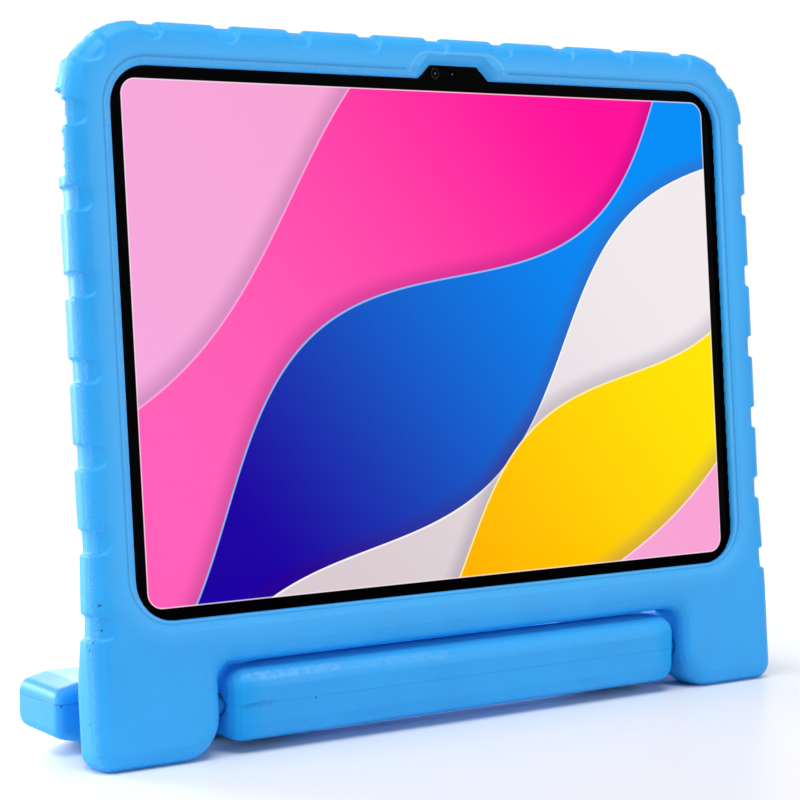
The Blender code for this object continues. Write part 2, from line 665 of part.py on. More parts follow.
def make_button_and_socket():
    """The power button, which slides into the tablet's left edge, and the socket in its right."""
    outline = stadium(BUTTON_THICK, BUTTON_LENGTH)
    outside = -TABLET_WIDTH / 2 - BUTTON_PROUD
    button_frame = frame("button_frame", case_frame)
    button_frame.location = (outside, 0.0, BUTTON_Z)
    cap = loft([across_x(outline, x) for x in (0.0, BUTTON_DEPTH)])
    piece("power_button", cap, button_frame, silver)
    mouth = TABLET_WIDTH / 2
    bottom = mouth - SOCKET_DEPTH
    sleeve = loft([across_x(stadium(SOCKET_HEIGHT, SOCKET_WIDTH), x) for x in (bottom, mouth)])
    socket = piece("charging_socket", sleeve, case_frame, silver)
    inside = stadium(SOCKET_HEIGHT, SOCKET_WIDTH, -SOCKET_WALL)
    bore = loft([across_x(inside, x) for x in (bottom + SOCKET_WALL, mouth + OVERRUN)])
    shape(socket, "socket_bore", bore, case_frame)


def centre_over_origin():
    """Move the whole stance so that its footprint is centred on the origin."""
    bpy.context.view_layer.update()
    graph = bpy.context.evaluated_depsgraph_get()
    spots = []
    for thing in bpy.context.scene.objects:
        if thing.type == "MESH" and not thing.hide_render:
            solid = thing.evaluated_get(graph)
            spots += [solid.matrix_world @ vertex.co for vertex in solid.data.vertices]
    for axis in (0, 1):
        low = min(spot[axis] for spot in spots)
        high = max(spot[axis] for spot in spots)
        stance.location[axis] = -(low + high) / 2


# Clear whatever the scene starts with
for thing in list(bpy.data.objects):
    bpy.data.objects.remove(thing, do_unlink=True)

# The frames: the case leans back over the hinge, and the handle lies level behind it
stance = frame("stance")
handle_frame = frame("handle_frame", stance)
case_frame = frame("case_frame", stance)
hinge = Vector((0.0, 0.0, HINGE_HEIGHT))
hinge_in_case = Vector((0.0, CASE_MIDDLE, HINGE_Z))
handle_frame.location = hinge
case_frame.rotation_euler = (-LEAN, 0.0, 0.0)
case_frame.location = hinge - Matrix.Rotation(-LEAN, 3, "X") @ hinge_in_case

# The finishes
foam = material("blue_foam", (0.065, 0.42, 0.88), 0.62)
pin_plastic = material("pin_plastic", (0.03, 0.20, 0.55), 0.4)
silver = material("silver_aluminium", (0.72, 0.73, 0.75), 0.35, 1.0)
black_glass = material("black_glass", (0.004, 0.004, 0.005), 0.06)
panel = material("lit_panel", (0.93, 0.35, 0.70), 0.3)
lens = material("lens_glass", (0.01, 0.012, 0.02), 0.05)

# The pieces
make_case_body()
make_handle()
make_tablet_housing()
make_tablet_front()
make_rear_camera()
make_button_and_socket()
centre_over_origin()
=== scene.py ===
"""The looks of a foam tablet case for children, standing on its folded-back handle."""

import math

import bpy
import numpy as np
from mathutils import Matrix, Vector


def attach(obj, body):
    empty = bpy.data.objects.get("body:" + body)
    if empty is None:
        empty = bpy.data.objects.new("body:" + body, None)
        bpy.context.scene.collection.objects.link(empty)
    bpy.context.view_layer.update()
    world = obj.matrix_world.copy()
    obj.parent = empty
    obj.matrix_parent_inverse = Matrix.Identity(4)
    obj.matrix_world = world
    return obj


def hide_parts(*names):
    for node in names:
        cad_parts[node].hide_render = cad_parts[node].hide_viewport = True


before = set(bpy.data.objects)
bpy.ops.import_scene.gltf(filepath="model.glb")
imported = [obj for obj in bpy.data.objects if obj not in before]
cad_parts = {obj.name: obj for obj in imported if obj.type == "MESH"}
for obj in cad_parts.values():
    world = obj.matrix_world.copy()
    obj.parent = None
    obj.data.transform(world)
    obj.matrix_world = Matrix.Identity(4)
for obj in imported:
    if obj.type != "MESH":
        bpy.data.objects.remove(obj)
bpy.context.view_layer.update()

# The stance
# The case leans back over its hinge. Sizes on its face are measured across the tablet's glass
# and up it, from the middle of the glass, and depths from the glass towards the back.
LEAN = math.radians(5.16)
GLASS_MIDDLE = Vector((0.0, -0.014773, 0.124994))
CASE_TO_WORLD = Matrix.Translation(GLASS_MIDDLE) @ Matrix.Rotation(-LEAN, 4, "X")
WORLD_TO_CASE = CASE_TO_WORLD.inverted()

# The camera
# A long lens at tablet height, to the left of the case, that looks slightly down on it.
CAMERA_PLACE = (-0.41600, -0.60409, 0.15659)
CAMERA_TILT = 83.942
CAMERA_HEADING = -33.991
CAMERA_LENS = 100.02
CAMERA_SENSOR = 36.0
CAMERA_RISE = 0.09157
CAMERA_NEAREST = 0.01

camera_data = bpy.data.cameras.new("camera")
camera_data.lens = CAMERA_LENS
camera_data.sensor_width = CAMERA_SENSOR
camera_data.shift_y = CAMERA_RISE
camera_data.clip_start = CAMERA_NEAREST
camera = bpy.data.objects.new("camera", camera_data)
camera.location = CAMERA_PLACE
camera.rotation_euler = (math.radians(CAMERA_TILT), 0.0, math.radians(CAMERA_HEADING))
bpy.context.scene.collection.objects.link(camera)
bpy.context.scene.camera = camera
bpy.context.scene.view_settings.view_transform = "Standard"

# The table, the white room and the lamps
# A white studio: a pale table that runs out to white, a broad lamp overhead, two on the left
# that whiten the side of the case, a weaker one in front and one behind for the top of the grip.
ROOM_WHITE = (1.0, 1.0, 1.0, 1.0)
ROOM_COOL = (0.97, 0.985, 1.0, 1.0)
ROOM_LIGHT = 0.04
TABLE_PALE = (0.94, 0.965, 0.985, 1.0)
TABLE_ROUGHNESS = 0.32
TABLE_GLOSS = 0.12
TABLE_REACH = 3.0
TABLE_CORNERS = ((-1, -1), (1, -1), (1, 1), (-1, 1))
TABLE_NEAR = 0.24
TABLE_FAR = 0.60


def node_tree(material):
    """An emptied node tree with its output."""
    material.use_nodes = True
    tree = material.node_tree
    tree.nodes.clear()
    return tree, tree.nodes.new("ShaderNodeOutputMaterial")


def worked(tree, operation, *values):
    """The result of one Math node, from sockets or plain numbers."""
    node = tree.nodes.new("ShaderNodeMath")
    node.operation = operation
    for socket, value in zip(node.inputs, values):
        if isinstance(value, (int, float)):
            socket.default_value = value
        else:
            tree.links.new(value, socket)
    return node.outputs[0]


def plain_seen(tree):
    """A value that is 1 where a surface is seen directly, in gloss or through glass."""
    path = tree.nodes.new("ShaderNodeLightPath")
    seen = worked(tree, "MAXIMUM", path.outputs["Is Camera Ray"], path.outputs["Is Glossy Ray"])
    return worked(tree, "MAXIMUM", seen, path.outputs["Is Transmission Ray"])


room = bpy.data.worlds.new("white_room")
bpy.context.scene.world = room
room.use_nodes = True
room_tree = room.node_tree
room_tree.nodes.clear()
seen_white = room_tree.nodes.new("ShaderNodeBackground")
seen_white.inputs["Color"].default_value = ROOM_WHITE
soft_light = room_tree.nodes.new("ShaderNodeBackground")
soft_light.inputs["Color"].default_value = ROOM_COOL
soft_light.inputs["Strength"].default_value = ROOM_LIGHT
room_mix = room_tree.nodes.new("ShaderNodeMixShader")
room_out = room_tree.nodes.new("ShaderNodeOutputWorld")
room_tree.links.new(plain_seen(room_tree), room_mix.inputs["Fac"])
room_tree.links.new(soft_light.outputs[0], room_mix.inputs[1])
room_tree.links.new(seen_white.outputs[0], room_mix.inputs[2])
room_tree.links.new(room_mix.outputs[0], room_out.inputs["Surface"])

table_mesh = bpy.data.meshes.new("table")
table_mesh.from_pydata([(x * TABLE_REACH, y * TABLE_REACH, 0.0) for x, y in TABLE_CORNERS],
                       [], [(0, 1, 2, 3)])
table = bpy.data.objects.new("table", table_mesh)
bpy.context.scene.collection.objects.link(table)
table_finish = bpy.data.materials.new("pale_table")
table_mesh.materials.append(table_finish)
table_tree, table_out = node_tree(table_finish)
near_table = table_tree.nodes.new("ShaderNodeBsdfPrincipled")
near_table.inputs["Base Color"].default_value = TABLE_PALE
near_table.inputs["Roughness"].default_value = TABLE_ROUGHNESS
near_table.inputs["Specular IOR Level"].default_value = TABLE_GLOSS
far_table = table_tree.nodes.new("ShaderNodeEmission")
table_place = table_tree.nodes.new("ShaderNodeTexCoord")
table_distance = table_tree.nodes.new("ShaderNodeVectorMath")
table_distance.operation = "LENGTH"
table_tree.links.new(table_place.outputs["Object"], table_distance.inputs[0])
table_fade = table_tree.nodes.new("ShaderNodeMapRange")
table_fade.interpolation_type = "SMOOTHSTEP"
table_fade.inputs["From Min"].default_value = TABLE_NEAR
table_fade.inputs["From Max"].default_value = TABLE_FAR
table_tree.links.new(table_distance.outputs["Value"], table_fade.inputs["Value"])
table_seen = worked(table_tree, "MULTIPLY", table_fade.outputs[0], plain_seen(table_tree))
table_mix = table_tree.nodes.new("ShaderNodeMixShader")
table_tree.links.new(table_seen, table_mix.inputs["Fac"])
table_tree.links.new(near_table.outputs[0], table_mix.inputs[1])
table_tree.links.new(far_table.outputs[0], table_mix.inputs[2])
table_tree.links.new(table_mix.outputs[0], table_out.inputs["Surface"])


def soft_lamp(name, place, aim, size, watts):
    """A square lamp that looks at a point."""
    data = bpy.data.lights.new(name, "AREA")
    data.shape = "SQUARE"
    data.size = size
    data.energy = watts
    lamp = bpy.data.objects.new(name, data)
    lamp.location = place
    lamp.rotation_euler = (Vector(aim) - Vector(place)).to_track_quat("-Z", "Y").to_euler()
    lamp.visible_camera = False
    bpy.context.scene.collection.objects.link(lamp)


LAMP_AIM = (0.0, 0.0, 0.1)
soft_lamp("left_lamp", (-1.4, 0.1, 0.5), LAMP_AIM, 0.9, 8.5)
soft_lamp("left_back_lamp", (-0.75, 1.25, 0.4), LAMP_AIM, 0.7, 18.0)
soft_lamp("front_lamp", (0.9, -1.5, 0.55), LAMP_AIM, 1.0, 10.0)
soft_lamp("top_lamp", (-0.2, -0.3, 1.6), LAMP_AIM, 1.1, 21.0)
soft_lamp("back_lamp", (0.5, 1.4, 0.35), LAMP_AIM, 0.7, 11.0)

# The foam case
# One moulding of closed-cell foam, blue all through, with a fine grained skin. Its lip holds the
# tablet. A crease runs round the window, drawn as a line of painted shade with a thin painted
# highlight on its inner side; the lip has a speckled painted highlight, and a paler band lies
# outside the crease. The moulds left a parting line on the sides, painted dark as the shade in its
# groove. The front edge of the sides has a speckled painted highlight, the camera's cut in the lip
# has painted highlights along its upper edge, and the pits that use left are painted dark as the
# shade in them.
FOAM_BLUE = (0.026, 0.392, 0.900, 1.0)
FOAM_BLUE_DEEP = (0.020, 0.355, 0.850, 1.0)
# Below: a paler blue for the grain, the paler bands and painted highlights; a light blue for painted
# highlights and sheen; and a dark blue for painted shade.
FOAM_BLUE_PALE_AND_HIGHLIGHT = (0.075, 0.455, 0.920, 1.0)
FOAM_BLUE_HIGHLIGHT = (0.270, 0.600, 0.930, 1.0)
FOAM_BLUE_SHADE = (0.010, 0.150, 0.430, 1.0)
FOAM_GLOSS = 0.28
FOAM_ROUGHNESS = (0.40, 0.50)
CLOUD_NOISE = (38.0, 6.0)
CLOUD_GREYS = (0.30, 0.70)
GRAIN_NOISE = (1900.0, 3.0)
GRAIN_GREYS = (0.35, 0.80)
GRAIN_TINT = 0.10
GRAIN_BUMP = (0.30, 0.00012)
SWELL_NOISE = (55.0, 2.0)
SWELL_BUMP = (0.40, 0.0006)
MARK_BUMP = (0.60, 0.00025)
FOAM_CELL = 0.00045
FOAM_SOFTENING = {"factor": 0.5, "iterations": 3}
FOAM_TRIANGLES = 190000
SHRINK_FROM = 0.0020
SHRINK_CURVE = 1.5
SHRINK_AT_BACK = 0.0027
SHRINK_BAND = 0.0050
SHRINK_SIDE = 0.1265
SHRINK_TOP = 0.0885
SHRINK_FEET = (-0.105, -0.080)
CREASE_MIDDLE = (-0.00075, 0.00072)
CREASE_HALF = (0.12035, 0.08430)
CREASE_CORNER = 0.0154
CREASE_WIDTH = 0.00075
CREASE_SHADE = 0.36
CREASE_HIGHLIGHT_OFFSET = CREASE_WIDTH * 0.9
CREASE_HIGHLIGHT_TINT = 0.16
PALER_WIDTH = 0.0085
PALER_TINT = 0.55
LIP_EDGE = (-0.0002, 0.0004)
LIP_HIGHLIGHT_TINTS = (0.30, 0.05)
SPECK_NOISE = (1300.0, 2.0)
SPECK_GREYS = (0.55, 0.68)
CAMERA_GAP = (-0.0130, 0.0268)
CAMERA_GAP_FROM = 0.070
CAMERA_GAP_BLUR = 0.001
FRONT_SKIN = (-0.0024, -0.0016)
SURROUND_MIDDLE = (0.0069, 0.0826)
SURROUND_HALF = (0.0190, 0.0081)
SURROUND_CORNER = 0.0078
SURROUND_BLUR = 0.001
SURROUND_RIM_WIDTH = 0.0009
SURROUND_HIGHLIGHT_TINT = 0.30
SURROUND_INNER_HIGHLIGHT_WIDTH = 0.0012
SURROUND_INNER_HIGHLIGHT_TINT = 0.50
OUTER_SIDE = (0.1275, 0.1290)
CASE_PARTING = 0.0048
PARTING_WIDTH = 0.00035
PARTING_NOISE = (120.0, 2.0)
PARTING_GREYS = (0.45, 0.75)
PARTING_SHADE = 0.20
HIGHLIT_EDGE = (-0.0014, -0.0008)
HIGHLIT_EDGE_END = (0.0002, 0.0010)
HIGHLIGHT_SPECK_NOISE = (1500.0, 3.0)
HIGHLIGHT_SPECK_GREYS = (0.40, 0.70)
EDGE_HIGHLIGHT_TINT = 0.32
ARCH_SIDES = (0.0880, 0.0900)
ARCH_ROOF = (-0.0965, -0.0955)
CASE_PITS = ((-0.02404, 0.04229), (-0.02314, 0.03900), (-0.02240, 0.03643),
             (-0.02402, 0.04975), (-0.02233, 0.01453))
CASE_PIT_ENDS = (-0.136, -0.130)
PIT_RADIUS = 0.00050


def noise(tree, scale, detail, place):
    """The grey value of a noise texture at a place."""
    texture = tree.nodes.new("ShaderNodeTexNoise")
    texture.inputs["Scale"].default_value = scale
    texture.inputs["Detail"].default_value = detail
    tree.links.new(place, texture.inputs["Vector"])
    return texture.outputs["Fac"]


def mixed(tree, amount, first, second):
    """A colour between two colours, by a socket or a plain number."""
    node = tree.nodes.new("ShaderNodeMix")
    node.data_type = "RGBA"
    for socket, value in (("Factor", amount), ("A", first), ("B", second)):
        if isinstance(value, (int, float, tuple)):
            node.inputs[socket].default_value = value
        else:
            tree.links.new(value, node.inputs[socket])
    return node.outputs["Result"]


def between(tree, value, low, high, from_value=0.0, to_value=1.0):
    """A value eased from one number to another while the input runs from low to high."""
    node = tree.nodes.new("ShaderNodeMapRange")
    node.interpolation_type = "SMOOTHSTEP"
    node.inputs["From Min"].default_value = low
    node.inputs["From Max"].default_value = high
    node.inputs["To Min"].default_value = from_value
    node.inputs["To Max"].default_value = to_value
    tree.links.new(value, node.inputs["Value"])
    return node.outputs["Result"]


def bumped(tree, height, strength, distance, normal=None):
    """A normal from a height, on top of another normal if there is one."""
    node = tree.nodes.new("ShaderNodeBump")
    node.inputs["Strength"].default_value = strength
    node.inputs["Distance"].default_value = distance
    tree.links.new(height, node.inputs["Height"])
    if normal:
        tree.links.new(normal, node.inputs["Normal"])
    return node.outputs["Normal"]


def combined(tree, operation, values):
    """Several values worked into one, such as their product or the greatest of them."""
    total = values[0]
    for value in values[1:]:
        total = worked(tree, operation, total, value)
    return total


def parts_of(tree, place):
    """The three coordinates of a place."""
    parts = tree.nodes.new("ShaderNodeSeparateXYZ")
    tree.links.new(place, parts.inputs[0])
    return parts.outputs


def case_place(tree):
    """Coordinates across, behind and up the glass, from its middle."""
    place = tree.nodes.new("ShaderNodeTexCoord").outputs["Object"]
    turned = tree.nodes.new("ShaderNodeMapping")
    turned.inputs["Location"].default_value = WORLD_TO_CASE.translation
    turned.inputs["Rotation"].default_value = WORLD_TO_CASE.to_euler()
    tree.links.new(place, turned.inputs["Vector"])
    return parts_of(tree, turned.outputs[0])


def rounded_reach(tree, across, up, half, corner):
    """How far a place lies outside a rectangle with round corners, below 0 just inside it."""
    past = []
    for value, reach in zip((across, up), half):
        over = worked(tree, "SUBTRACT", worked(tree, "ABSOLUTE", value), reach - corner)
        past.append(worked(tree, "MAXIMUM", over, 0.0))
    squares = worked(tree, "ADD", *[worked(tree, "MULTIPLY", over, over) for over in past])
    return worked(tree, "SUBTRACT", worked(tree, "SQRT", squares), corner)


def line_at_zero(tree, value, width):
    """1 on a soft line where a value passes zero."""
    return between(tree, worked(tree, "ABSOLUTE", value), width * 0.25, width * 0.65, 1.0, 0.0)


def vector_worked(tree, operation, first, second):
    """One Vector Math node on two sockets or plain vectors."""
    node = tree.nodes.new("ShaderNodeVectorMath")
    node.operation = operation
    for socket, value in zip(node.inputs, (first, second)):
        if isinstance(value, (tuple, Vector)):
            socket.default_value = value
        else:
            tree.links.new(value, socket)
    result = "Value" if operation in ("DOT_PRODUCT", "LENGTH") else "Vector"
    return node.outputs[result]


def stroke(tree, place, start, end, radius):
    """1 near a straight mark between two points, 0 away from it."""
    run = Vector(end) - Vector(start)
    offset = vector_worked(tree, "SUBTRACT", place, start)
    along = vector_worked(tree, "DOT_PRODUCT", offset, run / run.length_squared)
    held = worked(tree, "MINIMUM", worked(tree, "MAXIMUM", along, 0.0), 1.0)
    spread = tree.nodes.new("ShaderNodeCombineXYZ")
    for socket in spread.inputs:
        tree.links.new(held, socket)
    nearest = vector_worked(tree, "MULTIPLY", spread.outputs[0], run)
    away = vector_worked(tree, "SUBTRACT", offset, nearest)
    distance = vector_worked(tree, "LENGTH", away, (0.0, 0.0, 0.0))
    return between(tree, distance, radius * 0.5, radius, 1.0, 0.0)


def foam_skin(name, marks):
    """Blue foam with slight clouding and a fine grain, and the marks that a function draws on it."""
    material = bpy.data.materials.new(name)
    tree, out = node_tree(material)
    place = tree.nodes.new("ShaderNodeTexCoord").outputs["Object"]
    clouds = noise(tree, *CLOUD_NOISE, place)
    grain = noise(tree, *GRAIN_NOISE, place)
    swells = noise(tree, *SWELL_NOISE, place)
    # The marks: paler bands and painted highlights, painted highlights and sheen, painted shade, and
    # where the gloss is dulled.
    paler_and_highlight, highlight_and_rub, dark, dull = marks(tree, place)
    colour = mixed(tree, between(tree, clouds, *CLOUD_GREYS), FOAM_BLUE_DEEP, FOAM_BLUE)
    colour = mixed(tree, between(tree, grain, *GRAIN_GREYS, 0.0, GRAIN_TINT), colour, FOAM_BLUE_PALE_AND_HIGHLIGHT)
    colour = mixed(tree, paler_and_highlight, colour, FOAM_BLUE_PALE_AND_HIGHLIGHT)
    colour = mixed(tree, highlight_and_rub, colour, FOAM_BLUE_HIGHLIGHT)
    colour = mixed(tree, dark, colour, FOAM_BLUE_SHADE)
    skin = bumped(tree, grain, *GRAIN_BUMP)
    skin = bumped(tree, swells, *SWELL_BUMP, skin)
    skin = bumped(tree, worked(tree, "SUBTRACT", 1.0, dark), *MARK_BUMP, skin)
    foam = tree.nodes.new("ShaderNodeBsdfPrincipled")
    gloss = worked(tree, "MULTIPLY_ADD", dull, -FOAM_GLOSS, FOAM_GLOSS)
    tree.links.new(gloss, foam.inputs["Specular IOR Level"])
    roughness = between(tree, clouds, *CLOUD_GREYS, *FOAM_ROUGHNESS)
    tree.links.new(roughness, foam.inputs["Roughness"])
    tree.links.new(colour, foam.inputs["Base Color"])
    tree.links.new(skin, foam.inputs["Normal"])
    tree.links.new(foam.outputs[0], out.inputs["Surface"])
    return material


def case_marks(tree, place):
    """Where the case's skin is paler, where it has painted highlights and painted shade, and where it is
    dull, in the arch.
    """
    across, behind, up = case_place(tree)
    front = between(tree, behind, *FRONT_SKIN, 1.0, 0.0)
    outside = between(tree, worked(tree, "ABSOLUTE", across), *OUTER_SIDE)

    reach = rounded_reach(tree, worked(tree, "SUBTRACT", across, CREASE_MIDDLE[0]),
                          worked(tree, "SUBTRACT", up, CREASE_MIDDLE[1]), CREASE_HALF, CREASE_CORNER)
    camera_left, camera_right = CAMERA_GAP
    at_camera = combined(tree, "MULTIPLY", [
        between(tree, across, camera_left - CAMERA_GAP_BLUR, camera_left),
        between(tree, across, camera_right, camera_right + CAMERA_GAP_BLUR, 1.0, 0.0),
        between(tree, up, CAMERA_GAP_FROM, CAMERA_GAP_FROM + 2 * CAMERA_GAP_BLUR)])
    off_camera = worked(tree, "SUBTRACT", 1.0, at_camera)
    # The crease: a line of painted shade, left out at the camera's cut.
    crease_shade = combined(tree, "MULTIPLY", [line_at_zero(tree, reach, CREASE_WIDTH), front, off_camera])
    # A thin painted highlight along the inner side of the crease.
    inner_rim = line_at_zero(tree, worked(tree, "ADD", reach, CREASE_HIGHLIGHT_OFFSET), CREASE_WIDTH)
    crease_highlight = combined(tree, "MULTIPLY", [inner_rim, front, off_camera, CREASE_HIGHLIGHT_TINT])
    # A paler band on the front just outside the crease.
    beside = worked(tree, "MULTIPLY", between(tree, reach, 0.0, PALER_WIDTH, PALER_TINT, 0.0), front)
    # A speckled painted highlight over the lip inside the crease, faint over the rest of the front.
    specks = between(tree, noise(tree, *SPECK_NOISE, place), *SPECK_GREYS)
    lip_highlight = worked(tree, "MULTIPLY", between(tree, reach, *LIP_EDGE, *LIP_HIGHLIGHT_TINTS), front)

    # Along the upper edge of the camera's cut in the lip: a thin painted highlight, and a paler painted
    # highlight just within it.
    middle_across, middle_up = SURROUND_MIDDLE
    surround = rounded_reach(tree, worked(tree, "SUBTRACT", across, middle_across),
                             worked(tree, "SUBTRACT", up, middle_up), SURROUND_HALF, SURROUND_CORNER)
    upper = between(tree, up, middle_up + SURROUND_BLUR, middle_up + 2 * SURROUND_BLUR)
    above = worked(tree, "MULTIPLY", upper, front)
    surround_line = line_at_zero(tree, surround, SURROUND_RIM_WIDTH)
    surround_highlight = combined(tree, "MULTIPLY", [surround_line, above, SURROUND_HIGHLIGHT_TINT])
    inner_highlight = between(tree, surround, -SURROUND_INNER_HIGHLIGHT_WIDTH, 0.0, SURROUND_INNER_HIGHLIGHT_TINT, 0.0)
    paler_and_highlight = worked(tree, "MAXIMUM", beside, worked(tree, "MULTIPLY", inner_highlight, above))

    # The parting line on the outer sides: a broken line of painted shade in its groove.
    parting = combined(tree, "MULTIPLY", [
        line_at_zero(tree, worked(tree, "SUBTRACT", behind, CASE_PARTING), PARTING_WIDTH),
        outside, between(tree, noise(tree, *PARTING_NOISE, place), *PARTING_GREYS)])
    # A speckled painted highlight along the rounded front edge of the outer sides.
    edge_highlight = combined(tree, "MULTIPLY", [
        outside, between(tree, behind, *HIGHLIT_EDGE), between(tree, behind, *HIGHLIT_EDGE_END, 1.0, 0.0),
        between(tree, noise(tree, *HIGHLIGHT_SPECK_NOISE, place), *HIGHLIGHT_SPECK_GREYS, 0.0, EDGE_HIGHLIGHT_TINT)])
    # Pits in the left side, painted dark as the shade in them.
    near_end, far_end = CASE_PIT_ENDS
    pits = [stroke(tree, place, (near_end, y, z), (far_end, y, z), PIT_RADIUS) for y, z in CASE_PITS]
    # Painted shade: in the crease, along the parting line and in the pits.
    dark = combined(tree, "MAXIMUM", [worked(tree, "MULTIPLY", crease_shade, CREASE_SHADE),
                                      worked(tree, "MULTIPLY", parting, PARTING_SHADE)] + pits)
    # Painted highlights: on the lip, along the front edge of the sides, round the camera's cut and
    # beside the crease.
    highlight_and_rub = combined(tree, "MAXIMUM", [
        worked(tree, "MULTIPLY", specks, lip_highlight), edge_highlight, surround_highlight, crease_highlight])
    in_arch = combined(tree, "MULTIPLY", [
        between(tree, worked(tree, "ABSOLUTE", across), *ARCH_SIDES, 1.0, 0.0),
        between(tree, up, *ARCH_ROOF, 1.0, 0.0), between(tree, behind, *FRONT_SKIN)])
    return paler_and_highlight, highlight_and_rub, dark, in_arch


def modified(thing, kind, **values):
    """Replace an object's mesh by what one modifier makes of it."""
    step = thing.modifiers.new("step", kind)
    for name, value in values.items():
        setattr(step, name, value)
    graph = bpy.context.evaluated_depsgraph_get()
    mesh = bpy.data.meshes.new_from_object(thing.evaluated_get(graph))
    thing.modifiers.clear()
    thing.data = mesh


def eased(values):
    """A smooth step of numbers between 0 and 1."""
    held = np.clip(values, 0.0, 1.0)
    return held * held * (3.0 - 2.0 * held)


def points_of(mesh):
    """A mesh's vertices as rows of three numbers."""
    flat = np.empty(len(mesh.vertices) * 3, dtype=np.float32)
    mesh.vertices.foreach_get("co", flat)
    return flat.reshape(-1, 3)


def moved(points, matrix):
    """Points as another set of axes gives them."""
    turn = np.array(matrix)
    return points @ turn[:3, :3].T + turn[:3, 3]


def drawn_in(mesh):
    """Draw the back edge of the sides and the top in, where the thick foam shrank in cooling."""
    own = moved(points_of(mesh), WORLD_TO_CASE)
    depth = (own[:, 1] - SHRINK_FROM) / (own[:, 1].max() - SHRINK_FROM)
    depth = np.clip(depth, 0.0, 1.0) ** SHRINK_CURVE
    sides = eased((np.abs(own[:, 0]) - SHRINK_SIDE) / SHRINK_BAND)
    top = eased((own[:, 2] - SHRINK_TOP) / SHRINK_BAND)
    above_feet = eased((own[:, 2] - SHRINK_FEET[0]) / (SHRINK_FEET[1] - SHRINK_FEET[0]))
    own[:, 0] -= np.sign(own[:, 0]) * SHRINK_AT_BACK * depth * sides * above_feet
    own[:, 2] -= SHRINK_AT_BACK * depth * top
    mesh.vertices.foreach_set("co", moved(own, CASE_TO_WORLD).astype(np.float32).ravel())


def soft_moulding(name, node, body, skin, shape):
    """A copy of a moulding's solid with every edge slightly softened, then shaped by a function."""
    moulding = bpy.data.objects.new(name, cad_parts[node].data.copy())
    bpy.context.scene.collection.objects.link(moulding)
    cell = FOAM_CELL
    modified(moulding, "REMESH", mode="VOXEL", voxel_size=cell)
    modified(moulding, "SMOOTH", **FOAM_SOFTENING)
    shape(moulding.data)
    triangles = sum(len(face.vertices) - 2 for face in moulding.data.polygons)
    if triangles > FOAM_TRIANGLES:
        modified(moulding, "DECIMATE", ratio=FOAM_TRIANGLES / triangles)
    moulding.data.shade_smooth()
    moulding.data.materials.clear()
    moulding.data.materials.append(skin)
    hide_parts(node)
    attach(moulding, body)


case_skin = foam_skin("case_foam", case_marks)
soft_moulding("case_foam", "case_body", "case", case_skin, drawn_in)

# The handle
# The second foam moulding, which swings on two pins: the bar between the feet, two arms, and the
# grip behind them. Its moulds parted at half height, and the parting line is drawn as painted
# shade. The bar is scuffed there, with painted shade in the scuff and in a few pits; its upper edge
# is painted lighter as a highlight, with a flecked painted sheen along it; and it is a little
# crowned where it lies in the arch.
BAR_FRONT = -0.0284
BAR_SEAM = 0.0153
BAR_SEAM_SHADE = 0.28
GRIP_SEAM = 0.01625
GRIP_SEAM_SLOPE = -0.040
GRIP_SEAM_SHADE = 0.75
SEAM_STEP = (-0.012, -0.008)
SEAM_NOISE = (150.0, 2.0)
SEAM_GREYS = (0.25, 0.50)
SCUFF = ((-0.0873, 0.0149), (-0.0752, 0.0154))
SCUFF_RADIUS = 0.0011
SCUFF_NOISE = (600.0, 3.0)
SCUFF_GREYS = (0.25, 0.65)
SCUFF_SHADE = 0.42
SHEEN_STREAK = ((-0.0835, -0.0274, 0.0240), (-0.0500, -0.0274, 0.0239), (-0.0100, -0.0274, 0.0232))
STREAK_RADIUS = 0.0019
STREAK_NOISE = (520.0, 4.0)
STREAK_GREYS = (0.30, 0.70)
STREAK_LEAST = 0.15
STREAK_FAINT = 0.5
SHEEN_TINT = 0.42
BAR_PITS = ((-0.0592, 0.0149), (-0.0887, 0.0116))
BAR_PIT_DEPTH = 0.001
EAR_PIT = ((-0.1335, -0.0008, 0.0163), (-0.1335 + 0.0012, -0.0008, 0.0163 - 0.0004))
EAR_PIT_RADIUS = 0.0009
UPPER_HIGHLIGHT = (0.0200, 0.0240)
UPPER_HIGHLIGHT_TINT = 0.35
DULL_FROM = (0.0240, 0.0256)
DULL_END = (0.0750, 0.0850)
BAR_AXIS = (-0.0188, 0.0147)
BAR_CROWN = 0.0006
BAR_CROWN_HALF = 0.0050
BAR_CROWN_END = (0.0800, 0.0740)


def crowned(mesh):
    """Swell the upper side of the bar a little, where the foam rose in its mould."""
    own = points_of(mesh)
    swell = 1.0 - eased(np.abs(own[:, 1] - BAR_AXIS[0]) / BAR_CROWN_HALF)
    upper = eased((own[:, 2] - BAR_AXIS[1]) / BAR_CROWN_HALF)
    held = eased((BAR_CROWN_END[0] - np.abs(own[:, 0])) / (BAR_CROWN_END[0] - BAR_CROWN_END[1]))
    own[:, 2] += BAR_CROWN * swell * upper * held
    mesh.vertices.foreach_set("co", own.ravel())


